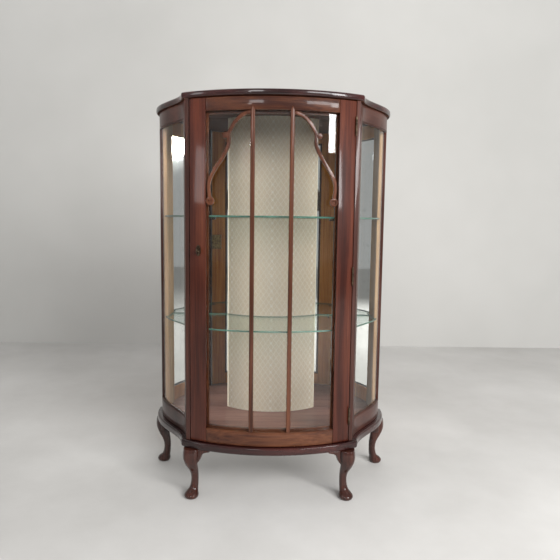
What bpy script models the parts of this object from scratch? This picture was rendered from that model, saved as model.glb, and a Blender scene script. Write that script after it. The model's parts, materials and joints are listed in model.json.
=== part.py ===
"""Bow-fronted glazed display cabinet on short cabriole legs, metres, +Z up, front towards -Y."""
import math

import bmesh
import bpy
from mathutils import Matrix, Vector

for old in list(bpy.data.objects):
    bpy.data.objects.remove(old, do_unlink=True)

# ---- sizes, all in metres -------------------------------------------------
GAP = 0.0003                 # between pieces that touch

# plan of the case, measured from the straight line between the door's outer edges
DOOR_HALF = 0.238            # half of the door's width
DOOR_BOW = 0.0532            # how far the door's middle stands in front of its edges
DOOR_THICK = 0.022
DOOR_SIDE_GAP = 0.0015
POST_FACE = 0.0125           # width of a front post seen from the front
SIDE_SPREAD = 0.125          # how much wider the case is at the back than at the front posts
CASE_DEPTH = 0.305           # from that straight line to the back
SIDE_THICK = 0.016
POST_SPAN = 0.14             # share of the side's curve taken by the front post
REAR_SPAN = 0.14             # share of the side's curve taken by the rear post
REAR_POST_THICK = 0.022
BACK_THICK = 0.0055
MIRROR_THICK = 0.0034

# heights
LEG_HEIGHT = 0.156
BASE_THICK = 0.0225
FLOOR_THICK = 0.004
DOOR_FOOT_GAP = 0.0022
CASE_TOP = 1.183             # underside of the top board
TOP_THICK = 0.017
SIDE_RAIL_LOW = 0.0535       # height of a side's bottom rail
SIDE_RAIL_HIGH = 0.048       # height of a side's top rail
BASE_OVER_FRONT = 0.0105
BASE_OVER_SIDE = 0.0150
TOP_OVER_FRONT = 0.0065
TOP_OVER_SIDE = 0.0100
BOARD_NOSE = 0.0075          # rounding of the boards' moulded edges

# door
STILE_WIDTH = 0.049
DOOR_RAIL_LOW = 0.0425
DOOR_RAIL_HIGH = 0.037
GLASS_THICK = 0.003
BAR_CENTRE = 0.055
BAR_WIDTH = 0.0125
FRET_WIDTH = 0.0100
BAR_BACK = 0.0130            # depth of the bars' back below the door's face
BAR_PROUD = 0.0020           # how far the bars stand out from the door's face
BAR_TIP = 0.013              # pointed end of a bar that laps onto the top rail
BEAD_WIDTH = 0.007
BEAD_THICK = 0.0048
DOOR_SWING_AXIS_FORWARD = 0.0035
EDGE = 0.0012                # softened edge of the wood pieces

# hinges
HINGE_HEIGHT = 0.053
HINGE_FROM_TOP = 0.070       # hinge centre below the door's top
HINGE_FROM_FOOT = 0.078      # hinge centre above the door's foot
KNUCKLE_RADIUS = 0.0030
KNUCKLE_BORE = 0.0014
PIN_RADIUS = 0.0011
LEAF_THICK = 0.0010
LEAF_DEPTH = 0.018

# lock
LOCK_HEIGHT = 0.756
LOCK_CASE_TALL = 0.055
LOCK_CASE_WIDE = 0.034
LOCK_CASE_DEEP = 0.021
BOLT_TALL = 0.012
BOLT_DEEP = 0.008
BOLT_LONG = 0.018
BOLT_THROW = 0.009
KEY_RADIUS = 0.0024
KEY_CLEAR = 0.0004
KEY_REACH = 0.024            # key bow's centre in front of the stile
KEY_BOW = 0.009
ESCUTCHEON_THICK = 0.0012
ESCUTCHEON_WIDE = 0.016
ESCUTCHEON_TALL = 0.032

# shelves and what holds them
SHELF_THICK = 0.005
SHELF_TOPS = {"lower": 0.518, "upper": 0.854}
SHELF_FRONT_GAP = 0.014
SHELF_SIDE_INSET = 0.013
SHELF_BACK_GAP = 0.003
PEG_RADIUS = 0.003
PEG_LONG = 0.016
PEG_BACK_X = 0.198

# column
COLUMN_HALF = 0.152
COLUMN_BULGE = 0.052
FABRIC_THICK = 0.0016

# legs
FOOT_RADIUS = 0.0205
EAR_THICK = 0.014
EAR_REACH = 0.062
EAR_DROP = 0.046

ARC_STEPS = 24
SIDE_STEPS = 16

LOOKS = {
    "mahogany": ((0.13, 0.035, 0.018), 0.30, 0.0),
    "mahogany_dark": ((0.06, 0.016, 0.012), 0.25, 0.0),
    "inner_wood": ((0.30, 0.13, 0.05), 0.5, 0.0),
    "glass": ((0.75, 0.85, 0.80), 0.03, 0.0),
    "mirror": ((0.85, 0.86, 0.86), 0.03, 1.0),
    "fabric": ((0.62, 0.55, 0.42), 0.9, 0.0),
    "brass": ((0.55, 0.38, 0.14), 0.35, 1.0),
    "steel": ((0.35, 0.34, 0.33), 0.35, 1.0),
}

# ---- derived sizes --------------------------------------------------------
FRONT_LINE = (BASE_OVER_FRONT + DOOR_BOW - CASE_DEPTH) / 2
BACK = FRONT_LINE + CASE_DEPTH
BOW_RADIUS = (DOOR_HALF ** 2 + DOOR_BOW ** 2) / (2 * DOOR_BOW)
BOW_CENTRE = FRONT_LINE + math.sqrt(BOW_RADIUS ** 2 - DOOR_HALF ** 2)
POST_INNER = DOOR_HALF + DOOR_SIDE_GAP
POST_OUTER = POST_INNER + POST_FACE
SIDE_END = POST_OUTER + SIDE_SPREAD
BASE_LOW = LEG_HEIGHT + GAP
BASE_HIGH = BASE_LOW + BASE_THICK
CASE_LOW = BASE_HIGH + GAP
CASE_HIGH = CASE_TOP - GAP
FLOOR_HIGH = CASE_LOW + FLOOR_THICK
INNER_LOW = FLOOR_HIGH + GAP
DOOR_LOW = BASE_HIGH + DOOR_FOOT_GAP
DOOR_HIGH = CASE_TOP - DOOR_FOOT_GAP
OPENING_LOW = DOOR_LOW + DOOR_RAIL_LOW
OPENING_HIGH = DOOR_HIGH - DOOR_RAIL_HIGH
OPENING_HALF = DOOR_HALF - STILE_WIDTH
BACK_FACE = BACK - BACK_THICK
MIRROR_BACK = BACK_FACE - GAP
MIRROR_FACE = MIRROR_BACK - MIRROR_THICK
GLASS_FRONT = BAR_BACK + GAP
GLASS_BACK = GLASS_FRONT + GLASS_THICK
AXIS_X = DOOR_HALF + DOOR_SIDE_GAP / 2
AXIS_Y = FRONT_LINE - DOOR_SWING_AXIS_FORWARD
COLUMN_RADIUS = (COLUMN_HALF ** 2 + COLUMN_BULGE ** 2) / (2 * COLUMN_BULGE)
COLUMN_BACK = MIRROR_FACE - GAP
COLUMN_CENTRE = COLUMN_BACK - COLUMN_BULGE + COLUMN_RADIUS
HINGE_TIMES = (DOOR_LOW + HINGE_FROM_FOOT, (DOOR_LOW + DOOR_HIGH) / 2, DOOR_HIGH - HINGE_FROM_TOP)


# ---- plan curves ----------------------------------------------------------
def bow_y(x, inset=0.0):
    """Front or back position of the bowed front at x, set in from the door's face."""
    return BOW_CENTRE - math.sqrt((BOW_RADIUS - inset) ** 2 - x * x)


def bow_points(left, right, inset, steps=ARC_STEPS):
    xs = [left + (right - left) * i / steps for i in range(steps + 1)]
    return [(x, bow_y(x, inset)) for x in xs]


def side_point(t, inset=0.0):
    """Right-hand side of the case: hollow behind the front post, then full towards the back."""
    corners = (
        Vector((POST_OUTER, bow_y(POST_OUTER))),
        Vector((POST_OUTER + 0.08 * SIDE_SPREAD, FRONT_LINE + 0.33 * CASE_DEPTH)),
        Vector((SIDE_END, FRONT_LINE + 0.525 * CASE_DEPTH)),
        Vector((SIDE_END, FRONT_LINE + 0.935 * CASE_DEPTH)),
    )
    a, b, c, d = corners
    s = 1 - t
    place = s ** 3 * a + 3 * s * s * t * b + 3 * s * t * t * c + t ** 3 * d
    along = 3 * s * s * (b - a) + 6 * s * t * (c - b) + 3 * t * t * (d - c)
    along.normalize()
    return place + inset * Vector((-along.y, along.x))


def side_points(start, end, inset, steps=SIDE_STEPS):
    return [tuple(side_point(start + (end - start) * i / steps, inset)) for i in range(steps + 1)]


def side_strip(start, end, outer, inner):
    return side_points(start, end, outer) + side_points(start, end, inner)[::-1]


def column_points(spare, back, steps=ARC_STEPS):
    """Column's face from left to right, spare outside its true surface, ending at depth back."""
    radius = COLUMN_RADIUS + spare
    reach = math.acos((COLUMN_CENTRE - back) / radius)
    turns = [-reach + 2 * reach * i / steps for i in range(steps + 1)]
    return [(radius * math.sin(a), COLUMN_CENTRE - radius * math.cos(a)) for a in turns]


def board_outline(over_front, over_side):
    """Plan of the top or the base board, the front first and then round the right-hand side."""
    corner = POST_OUTER + 0.12 * over_side
    front = bow_points(-corner, corner, -over_front)
    side = [p for p in side_points(0, 1, -over_side) if p[1] > front[-1][1] + EDGE and p[0] > corner]
    right = side + [(SIDE_END + over_side, BACK)]
    left = [(-x, y) for x, y in reversed(right)]
    return front + right + left


def mirrored(outline):
    return [(-x, y) for x, y in reversed(outline)]


# ---- making objects -------------------------------------------------------
def add_object(name, mesh_data, look, smooth=False, holder=None, pivot=(0, 0, 0)):
    """Puts a mesh into the scene under its look, with its origin on pivot."""
    bmesh.ops.recalc_face_normals(mesh_data, faces=mesh_data.faces)
    bmesh.ops.translate(mesh_data, verts=mesh_data.verts, vec=-Vector(pivot))
    mesh = bpy.data.meshes.new(name)
    mesh_data.to_mesh(mesh)
    mesh_data.free()
    if smooth:
        mesh.shade_smooth()
        mesh.set_sharp_from_angle(angle=math.radians(40))
    colour, roughness, metallic = LOOKS[look]
    material = bpy.data.materials.new(name)
    material.use_nodes = True
    shader = material.node_tree.nodes["Principled BSDF"]
    shader.inputs["Base Color"].default_value = (*colour, 1)
    shader.inputs["Roughness"].default_value = roughness
    shader.inputs["Metallic"].default_value = metallic
    mesh.materials.append(material)
    made = bpy.data.objects.new(name, mesh)
    bpy.context.collection.objects.link(made)
    if holder is None:
        made.location = pivot
    else:
        made.parent = holder
        made.location = Vector(pivot) - holder.location
    return made


def add_pivot(name, place):
    pivot = bpy.data.objects.new(name, None)
    pivot.location = place
    bpy.context.collection.objects.link(pivot)
    return pivot


def prism_mesh(outline, low, high, edge=0.0, steps=1):
    """Upright solid of a plan outline, with its sharp edges softened by edge."""
    made = bmesh.new()
    base = made.faces.new([made.verts.new((x, y, low)) for x, y in outline])
    raised = bmesh.ops.extrude_face_region(made, geom=[base])["geom"]
    tops = [v for v in raised if isinstance(v, bmesh.types.BMVert)]
    bmesh.ops.translate(made, verts=tops, vec=(0, 0, high - low))
    bmesh.ops.recalc_face_normals(made, faces=made.faces)
    if edge:
        sharp = [e for e in made.edges if e.calc_face_angle(0) > math.radians(35)]
        bmesh.ops.bevel(made, geom=sharp, offset=edge, segments=steps, profile=0.5, affect="EDGES")
    return made


def add_prism(name, outline, low, high, look, edge=0.0, steps=1, **rest):
    return add_object(name, prism_mesh(outline, low, high, edge, steps), look, **rest)


def box_mesh(low, high):
    made = bmesh.new()
    size = Vector(high) - Vector(low)
    middle = (Vector(high) + Vector(low)) / 2
    bmesh.ops.create_cube(made, size=1, matrix=Matrix.Translation(middle) @ Matrix.Diagonal((*size, 1)))
    return made


def rod_mesh(start, end, radius, sides=16):
    """Round bar from start to end."""
    start, end = Vector(start), Vector(end)
    turn = (end - start).to_track_quat("Z", "Y").to_matrix().to_4x4()
    place = Matrix.Translation((start + end) / 2) @ turn
    made = bmesh.new()
    bmesh.ops.create_cone(
        made, cap_ends=True, segments=sides, radius1=radius, radius2=radius,
        depth=(end - start).length, matrix=place,
    )
    return made


def add_cutter(name, mesh_data):
    cutter = add_object(name, mesh_data, "steel")
    cutter.hide_render = True
    cutter.display_type = "WIRE"
    return cutter


def boolean(target, tool, operation):
    step = target.modifiers.new(operation.lower(), "BOOLEAN")
    step.operation = operation
    step.solver = "EXACT"
    step.object = tool


def cut(target, name, mesh_data):
    boolean(target, add_cutter(name, mesh_data), "DIFFERENCE")


def join(target, name, mesh_data):
    boolean(target, add_cutter(name, mesh_data), "UNION")


# ---- boards, back and posts -----------------------------------------------
add_prism(
    "base_board", board_outline(BASE_OVER_FRONT, BASE_OVER_SIDE), BASE_LOW, BASE_HIGH,
    "mahogany_dark", BOARD_NOSE, 3, smooth=True,
)
add_prism(
    "top_board", board_outline(TOP_OVER_FRONT, TOP_OVER_SIDE), CASE_TOP, CASE_TOP + TOP_THICK,
    "mahogany", BOARD_NOSE, 3, smooth=True,
)


def floor_outline():
    """Floor panel between the posts, behind the door and inside the side rails."""
    front = bow_points(-POST_INNER + GAP, POST_INNER - GAP, DOOR_THICK + DOOR_FOOT_GAP)
    inner = SIDE_THICK + GAP
    start, end = POST_SPAN + 0.03, 1 - REAR_SPAN - 0.03
    post_back = side_point(POST_SPAN).y + 0.008
    corner = (POST_INNER - GAP, post_back)
    side = side_points(start, end, inner)
    rear_x = SIDE_END - REAR_POST_THICK - 0.006
    right = [corner] + side + [(rear_x, side[-1][1] + EDGE), (rear_x, MIRROR_FACE - GAP)]
    return front + right + [(-x, y) for x, y in reversed(right)]


add_prism("floor_panel", floor_outline(), CASE_LOW, FLOOR_HIGH, "inner_wood")
add_prism(
    "back_panel",
    [(-SIDE_END, BACK_FACE), (SIDE_END, BACK_FACE), (SIDE_END, BACK), (-SIDE_END, BACK)],
    CASE_LOW, CASE_HIGH, "inner_wood",
)

front_post = [(POST_INNER, bow_y(POST_INNER)), (POST_OUTER - EDGE, bow_y(POST_OUTER - EDGE))]
front_post += side_points(0, POST_SPAN, 0, 6)
post_rear = side_point(POST_SPAN, POST_FACE + 0.004)
front_post += [tuple(post_rear), (POST_INNER, post_rear.y)]
rear_post = side_points(1 - REAR_SPAN, 1, 0, 6) + [(SIDE_END, MIRROR_BACK)]
rear_post += [(SIDE_END - REAR_POST_THICK, MIRROR_BACK)]
rear_post += side_points(1 - REAR_SPAN, 1, REAR_POST_THICK, 6)[::-1]

glass_low = CASE_LOW + SIDE_RAIL_LOW
glass_high = CASE_HIGH - SIDE_RAIL_HIGH
joint_gap = GAP / CASE_DEPTH
rail_start, rail_end = POST_SPAN + joint_gap, 1 - REAR_SPAN - joint_gap
SIDE_GLASS_INSET = 0.006
posts = {}
for side_name, shape in (("left", mirrored), ("right", list)):
    posts[side_name] = add_prism(
        f"front_post_{side_name}", shape(front_post), CASE_LOW, CASE_HIGH, "mahogany"
    )
    add_prism(f"rear_post_{side_name}", shape(rear_post), CASE_LOW, CASE_HIGH, "mahogany")
    rail = shape(side_strip(rail_start, rail_end, 0, SIDE_THICK))
    add_prism(f"side_rail_low_{side_name}", rail, CASE_LOW, glass_low, "mahogany", EDGE)
    add_prism(f"side_rail_high_{side_name}", rail, glass_high, CASE_HIGH, "mahogany", EDGE)
    pane = side_strip(rail_start, rail_end, SIDE_GLASS_INSET, SIDE_GLASS_INSET + GLASS_THICK)
    add_prism(f"side_glass_{side_name}", shape(pane), glass_low + GAP, glass_high - GAP, "glass", smooth=True)
    mirror_in = COLUMN_HALF - 0.02
    mirror_out = SIDE_END - REAR_POST_THICK - GAP
    looking_glass = [(mirror_in, MIRROR_FACE), (mirror_out, MIRROR_FACE)]
    looking_glass += [(mirror_out, MIRROR_BACK), (mirror_in, MIRROR_BACK)]
    add_prism(f"mirror_{side_name}", shape(looking_glass), CASE_LOW, CASE_HIGH, "mirror")

# ---- bowed column against the mirrors -------------------------------------
add_prism("column_former", column_points(-FABRIC_THICK - GAP, COLUMN_BACK), INNER_LOW, CASE_HIGH, "inner_wood")
cover = column_points(0, COLUMN_BACK) + column_points(-FABRIC_THICK, COLUMN_BACK)[::-1]
add_prism("column_fabric", cover, INNER_LOW, CASE_HIGH, "fabric", smooth=True)

# ---- glass shelves --------------------------------------------------------
shelf_front = SHELF_FRONT_GAP + DOOR_THICK
shelf_corner = POST_INNER - 0.0115
shelf_side = side_points(POST_SPAN + 0.04, 1 - REAR_SPAN - 0.02, SHELF_SIDE_INSET)
shelf_back = MIRROR_FACE - SHELF_BACK_GAP
shelf_rear_x = SIDE_END - REAR_POST_THICK - 0.010
notch = column_points(SHELF_BACK_GAP / 2, shelf_back)
shelf_right = [(POST_INNER - SHELF_BACK_GAP, bow_y(shelf_corner, shelf_front) + 0.004)]
shelf_right += [(POST_INNER - SHELF_BACK_GAP, post_rear.y + 0.004)]
shelf_right += shelf_side + [(shelf_rear_x, shelf_side[-1][1] + EDGE), (shelf_rear_x, shelf_back)]
shelf_outline = bow_points(-shelf_corner, shelf_corner, shelf_front) + shelf_right
shelf_outline += notch[::-1] + [(-x, y) for x, y in reversed(shelf_right)]
peg_front_y = post_rear.y - 0.006
for shelf_name, top in SHELF_TOPS.items():
    under = top - SHELF_THICK
    add_prism(f"shelf_{shelf_name}", shelf_outline, under, top, "glass")
    peg_z = under - GAP - PEG_RADIUS
    for side_name, s in (("left", -1), ("right", 1)):
        inner = (s * (POST_INNER - GAP), peg_front_y, peg_z)
        outer = (s * (POST_INNER - PEG_LONG), peg_front_y, peg_z)
        add_object(f"peg_{shelf_name}_front_{side_name}", rod_mesh(inner, outer, PEG_RADIUS), "brass", True)
        inner = (s * PEG_BACK_X, MIRROR_FACE - GAP, peg_z)
        outer = (s * PEG_BACK_X, MIRROR_FACE - PEG_LONG, peg_z)
        add_object(f"peg_{shelf_name}_back_{side_name}", rod_mesh(inner, outer, PEG_RADIUS), "brass", True)

# ---- door -----------------------------------------------------------------
door = add_pivot("door_axis", (AXIS_X, AXIS_Y, (DOOR_LOW + DOOR_HIGH) / 2))


def bow_strip(left, right, front, back, steps=ARC_STEPS):
    return bow_points(left, right, front, steps) + bow_points(left, right, back, steps)[::-1]


lock_stile = add_prism(
    "lock_stile", bow_strip(-DOOR_HALF, -OPENING_HALF, 0, DOOR_THICK, 4), DOOR_LOW, DOOR_HIGH,
    "mahogany", EDGE, holder=door,
)
hinge_stile = add_prism(
    "hinge_stile", bow_strip(OPENING_HALF, DOOR_HALF, 0, DOOR_THICK, 4), DOOR_LOW, DOOR_HIGH,
    "mahogany", EDGE, holder=door,
)
rail_half = OPENING_HALF - GAP
across = bow_strip(-rail_half, rail_half, 0, DOOR_THICK)
add_prism("door_rail_low", across, DOOR_LOW, OPENING_LOW, "mahogany", EDGE, holder=door)
add_prism("door_rail_high", across, OPENING_HIGH, DOOR_HIGH, "mahogany", EDGE, holder=door)
pane_low, pane_high = OPENING_LOW + GAP, OPENING_HIGH - GAP
add_prism(
    "door_glass", bow_strip(-rail_half, rail_half, GLASS_FRONT, GLASS_BACK), pane_low, pane_high,
    "glass", holder=door, smooth=True,
)
bead = add_prism(
    "glazing_bead", bow_strip(-rail_half, rail_half, GLASS_BACK + GAP, GLASS_BACK + GAP + BEAD_THICK),
    pane_low, pane_high, "inner_wood", holder=door,
)
bead_half = rail_half - BEAD_WIDTH
cut(bead, "bead_opening", prism_mesh(
    bow_strip(-bead_half, bead_half, GLASS_FRONT, DOOR_THICK + BEAD_WIDTH),
    pane_low + BEAD_WIDTH, pane_high - BEAD_WIDTH,
))


def smooth_path(points, steps):
    """Points along a smooth line through the given ones."""
    path = []
    padded = [2 * points[0] - points[1]] + points + [2 * points[-1] - points[-2]]
    for p0, p1, p2, p3 in zip(padded, padded[1:], padded[2:], padded[3:]):
        for i in range(steps):
            t = i / steps
            path.append(0.5 * (
                2 * p1 + (p2 - p0) * t + (2 * p0 - 5 * p1 + 4 * p2 - p3) * t * t
                + (3 * p1 - p0 - 3 * p2 + p3) * t ** 3
            ))
    return path + [points[-1]]


def ribbon(path, width, low_x, high_x):
    """Outline of a flat strip along a path in x and z, kept between two x values."""
    sides = ([], [])
    for i, place in enumerate(path):
        along = (path[min(i + 1, len(path) - 1)] - path[max(i - 1, 0)]).normalized()
        across_it = Vector((-along.y, along.x)) * width / 2
        for row, spot in zip(sides, (place + across_it, place - across_it)):
            row.append((min(max(spot.x, low_x), high_x), spot.y))
    return sides[0] + sides[1][::-1]


def bowed_plate(outline, front, back):
    """Solid of an outline in x and z that follows the bowed front between two depths."""
    made = bmesh.new()
    base = made.faces.new([made.verts.new((x, bow_y(x, front), z)) for x, z in outline])
    raised = bmesh.ops.extrude_face_region(made, geom=[base])["geom"]
    for vert in raised:
        if isinstance(vert, bmesh.types.BMVert):
            vert.co.y = bow_y(vert.co.x, back)
    bmesh.ops.triangulate(made, faces=[f for f in made.faces if len(f.verts) > 4])
    return made


def disc_outline(centre, radius, low_x, high_x, steps=20):
    turns = [math.tau * i / steps for i in range(steps)]
    spots = [(centre[0] + radius * math.cos(a), centre[1] + radius * math.sin(a)) for a in turns]
    return [(min(max(x, low_x), high_x), z) for x, z in spots]


# fret from the bar's head to a boss, then down to a round end against the stile:
# (distance outward from the bar's side, distance below the opening's head)
FRET_LINE = (
    (0.0, 0.0055), (0.015, 0.010), (0.030, 0.019), (0.044, 0.033), (0.0545, 0.050), (0.0610, 0.064),
    (0.0605, 0.078), (0.0610, 0.092), (0.068, 0.110), (0.080, 0.131), (0.096, 0.154), (0.1095, 0.176),
    (0.1175, 0.197), (0.1185, 0.216), (0.1160, 0.236), (0.1155, 0.247),
)
FRET_SPAN = 0.12775          # the opening's side, as wide as the line above is drawn for
BOSS = (0.0705, 0.0675, 0.0090)       # outward, below the head, radius
FRET_END = (0.1155, 0.2500, 0.0125)
bar_side = BAR_CENTRE + BAR_WIDTH / 2
fret_scale = (OPENING_HALF - bar_side) / FRET_SPAN
for side_name, s in (("left", -1), ("right", 1)):
    bar = add_prism(
        f"bar_{side_name}",
        bow_strip(s * BAR_CENTRE - BAR_WIDTH / 2, s * BAR_CENTRE + BAR_WIDTH / 2, -BAR_PROUD, BAR_BACK, 3),
        pane_low, pane_high, "mahogany", holder=door,
    )
    half = BAR_WIDTH / 2
    tip_top = OPENING_HIGH + BAR_TIP
    tip = [(-half, pane_high - GAP), (half, pane_high - GAP), (half, OPENING_HIGH), (0, tip_top), (-half, OPENING_HIGH)]
    tip = [(s * BAR_CENTRE + x, z) for x, z in tip]
    join(bar, f"bar_tip_{side_name}", bowed_plate(tip, -BAR_PROUD, -GAP))
    line = [Vector((s * (bar_side + GAP + out * fret_scale), OPENING_HIGH - down)) for out, down in FRET_LINE]
    limits = sorted((s * (bar_side + GAP), s * rail_half))
    fret = add_object(
        f"fret_{side_name}",
        bowed_plate(ribbon(smooth_path(line, 4), FRET_WIDTH, *limits), -BAR_PROUD / 2, BAR_BACK),
        "mahogany", holder=door,
    )
    for part_name, (out, down, radius) in (("boss", BOSS), ("end", FRET_END)):
        middle = (s * (bar_side + out * fret_scale), OPENING_HIGH - down)
        disc = bowed_plate(disc_outline(middle, radius, *limits), -BAR_PROUD * 0.7, BAR_BACK - GAP)
        join(fret, f"fret_{part_name}_{side_name}", disc)

# ---- hinges ---------------------------------------------------------------
third = (HINGE_HEIGHT - 2 * GAP) / 3
leaf_back = FRONT_LINE + LEAF_DEPTH
case_leaf = (POST_INNER + GAP, POST_INNER + GAP + LEAF_THICK)
door_leaf = (DOOR_HALF - GAP - LEAF_THICK, DOOR_HALF - GAP)
for number, centre in enumerate(HINGE_TIMES, 1):
    low, high = centre - HINGE_HEIGHT / 2, centre + HINGE_HEIGHT / 2
    bands = [(low + i * (third + GAP), low + i * (third + GAP) + third) for i in range(3)]
    for kind, (near, far), used, holder in (
        ("case", case_leaf, (0, 2), None), ("door", door_leaf, (1,), door),
    ):
        leaf = add_object(
            f"hinge_{number}_{kind}_leaf",
            box_mesh((near, FRONT_LINE + GAP, low), (far, leaf_back, high)), "brass",
            holder=holder,
        )
        for band in used:
            foot, head = bands[band]
            neck = box_mesh((near, AXIS_Y, foot), (far, FRONT_LINE + 2 * GAP, head))
            join(leaf, f"neck_{number}_{kind}_{band}", neck)
            tube = rod_mesh((AXIS_X, AXIS_Y, foot), (AXIS_X, AXIS_Y, head), KNUCKLE_RADIUS)
            join(leaf, f"knuckle_{number}_{kind}_{band}", tube)
        if kind == "case":
            pin = rod_mesh((AXIS_X, AXIS_Y, low + GAP), (AXIS_X, AXIS_Y, high - GAP), PIN_RADIUS)
            join(leaf, f"pin_{number}", pin)
        else:
            bore = rod_mesh((AXIS_X, AXIS_Y, low), (AXIS_X, AXIS_Y, high), KNUCKLE_BORE)
            cut(leaf, f"bore_{number}", bore)
    seat = LEAF_THICK + 2 * GAP
    cut(posts["right"], f"case_seat_{number}", box_mesh(
        (POST_INNER - seat, FRONT_LINE - LEAF_DEPTH, low - GAP),
        (POST_INNER + seat, leaf_back + GAP, high + GAP),
    ))
    cut(hinge_stile, f"door_seat_{number}", box_mesh(
        (DOOR_HALF - seat, FRONT_LINE - LEAF_DEPTH, low - GAP),
        (DOOR_HALF + seat, leaf_back + GAP, high + GAP),
    ))

# ---- lock, key and strike plate -------------------------------------------
lock_left = -DOOR_HALF + 2 * GAP
lock_right = lock_left + LOCK_CASE_WIDE
lock_back = bow_y(DOOR_HALF, DOOR_THICK) + 0.003
lock_front = lock_back - LOCK_CASE_DEEP
lock_low = LOCK_HEIGHT - LOCK_CASE_TALL / 2
lock_high = LOCK_HEIGHT + LOCK_CASE_TALL / 2
cut(lock_stile, "lock_pocket", box_mesh(
    (-DOOR_HALF - EDGE, lock_front - GAP, lock_low - GAP),
    (lock_right + GAP, lock_back + DOOR_THICK, lock_high + GAP),
))
lock_case = add_object(
    "lock_case", box_mesh((lock_left, lock_front, lock_low), (lock_right, lock_back, lock_high)),
    "brass", holder=door,
)
bolt_middle = (lock_front + lock_back) / 2 - 0.001
bolt_left = lock_left + GAP
bolt_low, bolt_high = LOCK_HEIGHT - BOLT_TALL / 2, LOCK_HEIGHT + BOLT_TALL / 2
bolt_front, bolt_back = bolt_middle - BOLT_DEEP / 2, bolt_middle + BOLT_DEEP / 2
add_object(
    "lock_bolt",
    box_mesh((bolt_left, bolt_front, bolt_low), (bolt_left + BOLT_LONG, bolt_back, bolt_high)),
    "steel", holder=door,
)
cut(lock_case, "bolt_way", box_mesh(
    (lock_left - EDGE, bolt_front - GAP, bolt_low - GAP),
    (bolt_left + BOLT_LONG + GAP, bolt_back + GAP, bolt_high + GAP),
))
key_x = lock_right - 0.0075
key_z = LOCK_HEIGHT - 0.004
key_tip = lock_front + 0.006
key_face = bow_y(key_x)
key_axis = add_pivot("key_axis", (key_x, key_face, key_z))
key_axis.parent = door
key_axis.location = Vector((key_x, key_face, key_z)) - door.location
key = add_object(
    "key", rod_mesh((key_x, key_face - KEY_REACH + KEY_BOW, key_z), (key_x, key_tip, key_z), KEY_RADIUS),
    "brass", True,
)
bow_ring = bmesh.new()
ring_place = Matrix.Translation((key_x, key_face - KEY_REACH, key_z)) @ Matrix.Rotation(math.pi / 2, 4, "Y")
section = [bow_ring.verts.new((KEY_BOW + 0.0028 * math.cos(a), 0, 0.0016 * math.sin(a)))
           for a in (math.tau * i / 10 for i in range(10))]
loop = [bow_ring.edges.new((a, b)) for a, b in zip(section, section[1:] + section[:1])]
bmesh.ops.spin(bow_ring, geom=section + loop, cent=(0, 0, 0), axis=(0, 0, 1), angle=math.tau, steps=20, use_merge=True)
bmesh.ops.transform(bow_ring, matrix=ring_place, verts=bow_ring.verts)
join(key, "key_bow", bow_ring)
key_way = ((key_x, key_face - 0.02, key_z), (key_x, key_tip + GAP, key_z))
cut(lock_stile, "key_way_stile", rod_mesh(*key_way, KEY_RADIUS + KEY_CLEAR))
cut(lock_case, "key_way_lock", rod_mesh(*key_way, KEY_RADIUS + KEY_CLEAR))

lean = math.asin(key_x / BOW_RADIUS)
plate_place = Matrix.Translation((key_x, key_face, key_z)) @ Matrix.Rotation(lean, 4, "Z")
plate = rod_mesh((0, -ESCUTCHEON_THICK - 0.0008, 0), (0, -0.0008, 0), 0.5, 24)
bmesh.ops.scale(plate, vec=(ESCUTCHEON_WIDE, 1, ESCUTCHEON_TALL), verts=plate.verts)
bmesh.ops.transform(plate, matrix=plate_place, verts=plate.verts)
escutcheon = add_object("escutcheon", plate, "brass", holder=door)
cut(escutcheon, "key_way_plate", rod_mesh(*key_way, KEY_RADIUS + KEY_CLEAR))

strike_tall = LOCK_CASE_TALL * 0.7
strike_thick = 0.0008
strike_front, strike_back = bolt_front - 0.003, bolt_back + 0.003
strike = add_object("strike_plate", box_mesh(
    (-POST_INNER - GAP - strike_thick, strike_front, LOCK_HEIGHT - strike_tall / 2),
    (-POST_INNER - GAP, strike_back, LOCK_HEIGHT + strike_tall / 2),
), "brass")
cut(posts["left"], "strike_seat", box_mesh(
    (-POST_INNER - 2 * GAP - strike_thick, strike_front - GAP, LOCK_HEIGHT - strike_tall / 2 - GAP),
    (-POST_INNER + EDGE, strike_back + GAP, LOCK_HEIGHT + strike_tall / 2 + GAP),
))
bolt_hole = (
    (-POST_INNER - BOLT_THROW, bolt_front - 3 * GAP, bolt_low - 3 * GAP),
    (-POST_INNER + EDGE, bolt_back + 3 * GAP, bolt_high + 3 * GAP),
)
cut(strike, "strike_hole", box_mesh(*bolt_hole))
cut(posts["left"], "bolt_mortise", box_mesh(*bolt_hole))

# ---- legs and their ears --------------------------------------------------
# height as a share of the leg, how far the centre swings out, radius
LEG_FORM = (
    (0.0, 0.0080, 0.84 * FOOT_RADIUS), (0.03, 0.0085, 1.01 * FOOT_RADIUS), (0.07, 0.0078, 1.05 * FOOT_RADIUS),
    (0.12, 0.0045, 0.88 * FOOT_RADIUS), (0.17, -0.0015, 0.0140), (0.24, -0.0055, 0.0122),
    (0.34, -0.0075, 0.0115), (0.45, -0.0065, 0.0124), (0.55, -0.0015, 0.0150), (0.64, 0.0055, 0.0184),
    (0.74, 0.0110, 0.0220), (0.83, 0.0130, 0.0243), (0.92, 0.0115, 0.0252), (1.0, 0.0085, 0.0248),
)
LEG_SIDES = 20


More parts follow.
